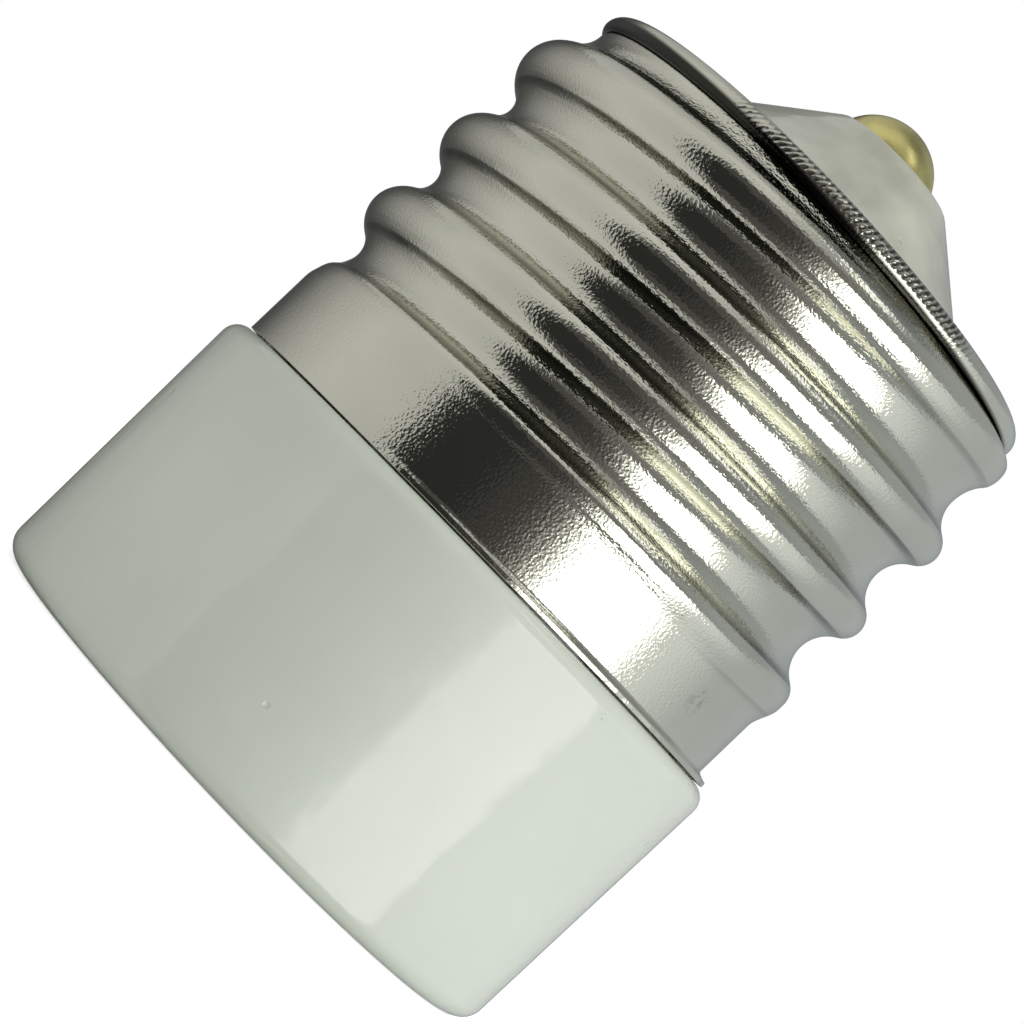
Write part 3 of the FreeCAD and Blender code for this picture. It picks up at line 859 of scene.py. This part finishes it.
class ADAPTER_OT_contact_spring(bpy.types.Operator):
    """Bent bronze leaf: a foot, a fold, a straight tongue, a bow and a tip"""
    bl_idname = "adapter.contact_spring"
    bl_label = "Contact spring"

    def execute(self, context):
        c = context.scene.adapter_contacts
        x = -c.foot_back
        z = SPRING_HIGH.z - c.spring_thickness / 2
        heading = 0.0
        points = [Vector((x, z))]

        def straight(distance, parts):
            nonlocal x, z
            for part in range(parts):
                x += math.cos(heading) * distance / parts
                z += math.sin(heading) * distance / parts
                points.append(Vector((x, z)))

        def bend(radius, turn, parts):
            nonlocal x, z, heading
            centre = Vector((x + math.sin(heading) * radius, z - math.cos(heading) * radius))
            for part in range(parts):
                heading -= turn / parts
                x = centre.x - math.sin(heading) * radius
                z = centre.y + math.cos(heading) * radius
                points.append(Vector((x, z)))

        straight(c.foot_back + c.foot_front, 12)
        bend(c.fold_radius, math.radians(165), 28)
        straight(c.tongue, 8)
        bend(c.bow_radius, math.radians(45), 12)
        straight(c.tip, 4)
        bm = bmesh.new()
        verts = [bm.verts.new((p.x, -c.spring_width / 2, p.y)) for p in points]
        for pair in zip(verts, verts[1:]):
            bm.edges.new(pair)
        rows = 14
        edges = list(bm.edges)
        for row in range(rows):
            grown = bmesh.ops.extrude_edge_only(bm, edges=edges)["geom"]
            moved = [g for g in grown if isinstance(g, bmesh.types.BMVert)]
            edges = [g for g in grown if isinstance(g, bmesh.types.BMEdge)]
            edges = [e for e in edges if all(v in moved for v in e.verts)]
            bmesh.ops.translate(bm, verts=moved, vec=(0, c.spring_width / rows, 0))
        bmesh.ops.recalc_face_normals(bm, faces=bm.faces)
        obj = piece("contact_leaf", bm, finish_named("bronze_finish"),
                    body=None, replaced=["contact_spring"])
        thicken(obj, c.spring_thickness, offset=0.0)
        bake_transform(obj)
        return {"FINISHED"}


class ADAPTER_OT_shell_rivets(bpy.types.Operator):
    """The two rivets that hold the inner shell to the porcelain"""
    bl_idname = "adapter.shell_rivets"
    bl_label = "Shell rivets"

    def execute(self, context):
        c = context.scene.adapter_contacts
        flange_z = FLOOR_Z - context.scene.adapter_sleeve.wall
        outline = rounded([
            (0, RIVET_LOW.z, 0),
            (c.rivet_head, RIVET_LOW.z, 0.45 * MM),
            (c.rivet_head, flange_z, 0),
            (c.rivet_shank, flange_z, 0),
            (c.rivet_shank, SHOULDER_Z, 0),
            (c.rivet_head, SHOULDER_Z, 0),
            (c.rivet_head, RIVET_HIGH.z, 0.3 * MM),
            (0, RIVET_HIGH.z, 0),
        ], closed=False)
        for side, name in ((-1, "left"), (1, "right")):
            bm = spun(outline, 48, False)
            bmesh.ops.translate(bm, verts=bm.verts, vec=(side * c.rivet_circle, 0, 0))
            piece(name + "_rivet", bm, finish_named("brass_finish"),
                  replaced=[name + "_shell_rivet"], sharp=math.radians(40))
        return {"FINISHED"}


class ADAPTER_OT_small_brass(bpy.types.Operator):
    """Finish of the link strip and the rivet washer, which keep their own shape"""
    bl_idname = "adapter.small_brass"
    bl_label = "Link strip and washer"

    def execute(self, context):
        for name in ("link_strip", "rivet_washer"):
            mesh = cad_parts[name].data
            mesh.materials.clear()
            mesh.materials.append(finish_named("brass_finish"))
        return {"FINISHED"}


class AdapterStage(bpy.types.PropertyGroup):
    camera_distance: length("Camera distance", "From the camera to the adapter's axis", 213.4)
    camera_left: length("Camera left", "How far left of the axis the camera stands", 0.325)
    camera_rise: length("Camera rise", "Height of the camera's line above the seam", 3.424)
    camera_tilt: rotation("Camera tilt", "How far the camera looks up", 0.0309)
    camera_roll: rotation(
        "Camera roll", "How far the camera is rolled about its line", math.radians(46.4))
    lens: bpy.props.FloatProperty(
        name="Lens", description="Focal length on a 36 mm sensor, in millimetres", default=123.68)


# What mirrors see round the adapter, in rings of cards: azimuth in degrees, with 0 on the
# camera's side and positive to its right, and brightness. The rings lie CARD_DROP lower than
# the horizon, and each edge is the pair of elevations over which one ring gives way to the next.
BRIGHTEST_CARD = 3.2
CARD_DROP = math.radians(6)
LEVEL_EDGE = (30, 33)
OVERHEAD_EDGE = (56, 70)
COOL_FROM = 73
COOL_SHIFT = 0.05
WARM_WITHIN = 8
WARM_SHIFT = 0.11
AMBIENT = 0.48
LEVEL_CARDS = (
    (-180, 0.20), (-165, 0.06), (-150, 0.11), (-129, 0.35), (-108, 0.56), (-90, 0.66), (-60, 0.60),
    (-49, 0.59), (-46, 0.03), (-14, 0.03), (-9, 0.07), (-5, 0.03), (0, 0.08), (4, 0.04), (8, 0.15),
    (12, 0.12), (16, 0.5), (21, 0.7), (27, 3.2), (66, 3.2), (70, 0.88), (83, 0.84), (91, 0.74),
    (98, 0.64), (107, 0.56), (150, 0.50), (180, 0.22))
SLANTING_CARDS = (
    (-180, 0.34), (-165, 0.40), (-150, 0.48), (-129, 0.54), (-90, 0.66), (-50, 0.62), (-42, 0.07),
    (0, 0.09), (15, 0.18), (40, 0.26), (76, 0.36), (107, 0.42), (150, 0.40), (180, 0.22))
OVERHEAD_CARDS = (
    (-180, 0.20), (-130, 0.50), (-90, 0.70), (-45, 0.68), (-20, 0.62), (10, 0.48), (40, 0.35),
    (50, 1.6), (68, 1.6), (78, 0.28), (107, 0.26), (150, 0.16), (180, 0.20))

# The soft lights that matt surfaces get: name, azimuth, elevation, width, depth and power
LIGHT_DISTANCE = 0.34
SOFT_LIGHTS = (
    ("key_light", 64, 22, 0.22, 0.34, 0.53),
    ("top_light", -80, 76, 0.20, 0.20, 0.14),
)


def card_ring(add, place, stops):
    """Colour of one ring of cards at a place from 0 to 1 round the adapter."""
    ring = []
    for azimuth, level in stops:
        grey = level / BRIGHTEST_CARD
        cool = COOL_SHIFT * grey if azimuth >= COOL_FROM else 0.0
        warm = WARM_SHIFT * grey if abs(azimuth) <= WARM_WITHIN else 0.0
        ring.append((0.5 + azimuth / 360, (grey - cool + warm, grey, grey + cool)))
    return ramp(add, place, ring)


def aim(obj, place, target):
    """Puts an object at a place with its -Z axis towards the target."""
    obj.location = place
    obj.rotation_euler = (Vector(target) - Vector(place)).to_track_quat("-Z", "Y").to_euler()


def around(azimuth, elevation, distance, target):
    """A place seen from the target: azimuth 0 is the camera's side, positive is its right."""
    a = math.radians(azimuth)
    e = math.radians(elevation)
    flat = distance * math.cos(e)
    return Vector(target) + Vector((flat * math.sin(a), -flat * math.cos(a), distance * math.sin(e)))


class ADAPTER_OT_stage(bpy.types.Operator):
    """Camera, floor, lights and surroundings of a plain studio"""
    bl_idname = "adapter.stage"
    bl_label = "Stage"

    def execute(self, context):
        self.make_camera(context)
        self.make_floor(context)
        self.make_lights(context)
        self.make_world(context)
        context.scene.view_settings.view_transform = "Standard"
        return {"FINISHED"}

    def make_camera(self, context):
        s = context.scene.adapter_stage
        data = bpy.data.cameras.new("camera")
        camera = linked("camera", data)
        data.lens = s.lens
        data.sensor_width = 36.0
        data.clip_start = 0.01
        right = Vector((1, 0, 0))
        forward = Vector((0, math.cos(s.camera_tilt), math.sin(s.camera_tilt)))
        up = right.cross(forward)
        place = Vector((0, 0, SEAM_Z)) - right * s.camera_left + up * s.camera_rise
        place -= forward * s.camera_distance
        cos, sin = math.cos(s.camera_roll), math.sin(s.camera_roll)
        x_axis = right * cos + up * sin
        y_axis = up * cos - right * sin
        matrix = Matrix((x_axis, y_axis, -forward)).transposed().to_4x4()
        matrix.translation = place
        camera.matrix_world = matrix
        context.scene.camera = camera

    def make_floor(self, context):
        bm = bmesh.new()
        bmesh.ops.create_grid(bm, x_segments=1, y_segments=1, size=1.5)
        bmesh.ops.translate(bm, verts=bm.verts, vec=(0, 0, LOWEST[2] - 0.05 * MM))
        floor = mesh_object("floor", bm)
        floor.visible_glossy = False
        material, add = new_material("studio_floor")
        base = tuple(context.scene.adapter_finish.floor)
        path = add("ShaderNodeLightPath")
        lift = math_node(add, "MULTIPLY", path.outputs["Is Camera Ray"], 0.7)
        diffuse = add("ShaderNodeBsdfDiffuse", {"Color": base})
        glow = add("ShaderNodeEmission", {"Strength": lift})
        both = add("ShaderNodeAddShader", {0: diffuse.outputs[0], 1: glow.outputs[0]})
        add("ShaderNodeOutputMaterial", {"Surface": both.outputs[0]})
        floor.data.materials.append(material)

    def make_lights(self, context):
        target = (0, 0, SEAM_Z + 10 * MM)
        for name, azimuth, elevation, width, depth, power in SOFT_LIGHTS:
            data = bpy.data.lights.new(name, "AREA")
            data.shape = "RECTANGLE"
            data.size = width
            data.size_y = depth
            data.energy = power
            light = linked(name, data)
            aim(light, around(azimuth, elevation, LIGHT_DISTANCE, target), target)
            light.visible_camera = False
            light.visible_glossy = False

    def make_world(self, context):
        """White to the camera, an even grey to matt surfaces, and to mirrors a studio of cards
        in three rings: level, slanting and overhead."""
        world = bpy.data.worlds.new("studio")
        world.use_nodes = True
        add = node_adder(world.node_tree)
        path = add("ShaderNodeLightPath")
        seen = math_node(add, "MAXIMUM", path.outputs["Is Camera Ray"],
                         path.outputs["Is Transmission Ray"])
        direction = add("ShaderNodeTexCoord").outputs["Generated"]
        xyz = add("ShaderNodeSeparateXYZ", {"Vector": direction})
        minus_y = math_node(add, "MULTIPLY", xyz.outputs["Y"], -1.0)
        turn = math_node(add, "ARCTAN2", xyz.outputs["X"], minus_y)
        place = ranged(add, turn, -math.pi, math.pi)
        elevation = math_node(add, "ARCSINE", xyz.outputs["Z"])
        slant = math_node(add, "ABSOLUTE", math_node(add, "ADD", elevation, CARD_DROP))
        cards = card_ring(add, place, LEVEL_CARDS)
        for ring, (start, end) in ((SLANTING_CARDS, LEVEL_EDGE), (OVERHEAD_CARDS, OVERHEAD_EDGE)):
            past = ranged(add, slant, math.radians(start), math.radians(end),
                          interpolation_type="SMOOTHSTEP")
            cards = blended(add, past, cards, card_ring(add, place, ring))
        glossy = path.outputs["Is Glossy Ray"]
        ambient = blended(add, glossy, (AMBIENT, AMBIENT, AMBIENT, 1.0), cards)
        shown = blended(add, seen, ambient, (1.0, 1.0, 1.0, 1.0))
        background = add("ShaderNodeBackground", {
            "Color": shown, "Strength": ranged(add, glossy, 0.0, 1.0, 1.0, BRIGHTEST_CARD)})
        add("ShaderNodeOutputWorld", {"Surface": background.outputs[0]})
        context.scene.world = world


class ADAPTER_PT_panel(bpy.types.Panel):
    """Lists the pieces of the adapter"""
    bl_idname = "ADAPTER_PT_panel"
    bl_label = "Lamp socket adapter"
    bl_space_type = "VIEW_3D"
    bl_region_type = "UI"
    bl_category = "Adapter"

    def draw(self, context):
        for operator in OPERATORS:
            self.layout.operator(operator.bl_idname)
        for group in GROUPS:
            settings = getattr(context.scene, group)
            box = self.layout.box()
            box.label(text=group.replace("_", " "))
            for name in settings.__annotations__:
                box.prop(settings, name)


OPERATORS = (
    ADAPTER_OT_porcelain,
    ADAPTER_OT_outer_shell,
    ADAPTER_OT_rim,
    ADAPTER_OT_inner_shell,
    ADAPTER_OT_centre_contact,
    ADAPTER_OT_contact_spring,
    ADAPTER_OT_shell_rivets,
    ADAPTER_OT_small_brass,
    ADAPTER_OT_stage,
)

GROUPS = {
    "adapter_porcelain": AdapterPorcelain,
    "adapter_shell": AdapterShell,
    "adapter_sleeve": AdapterSleeve,
    "adapter_contacts": AdapterContacts,
    "adapter_finish": AdapterFinish,
    "adapter_stage": AdapterStage,
}


def register():
    for name, group in GROUPS.items():
        bpy.utils.register_class(group)
        setattr(bpy.types.Scene, name, bpy.props.PointerProperty(type=group))
    for operator in OPERATORS:
        bpy.utils.register_class(operator)
    bpy.utils.register_class(ADAPTER_PT_panel)


def unregister():
    bpy.utils.unregister_class(ADAPTER_PT_panel)
    for operator in reversed(OPERATORS):
        bpy.utils.unregister_class(operator)
    for name, group in GROUPS.items():
        delattr(bpy.types.Scene, name)
        bpy.utils.unregister_class(group)


def main():
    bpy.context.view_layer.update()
    register()
    bpy.ops.adapter.porcelain()
    bpy.ops.adapter.outer_shell()
    bpy.ops.adapter.rim()
    bpy.ops.adapter.inner_shell()
    bpy.ops.adapter.centre_contact()
    bpy.ops.adapter.contact_spring()
    bpy.ops.adapter.shell_rivets()
    bpy.ops.adapter.small_brass()
    bpy.ops.adapter.stage()


if __name__ == "__main__":
    main()
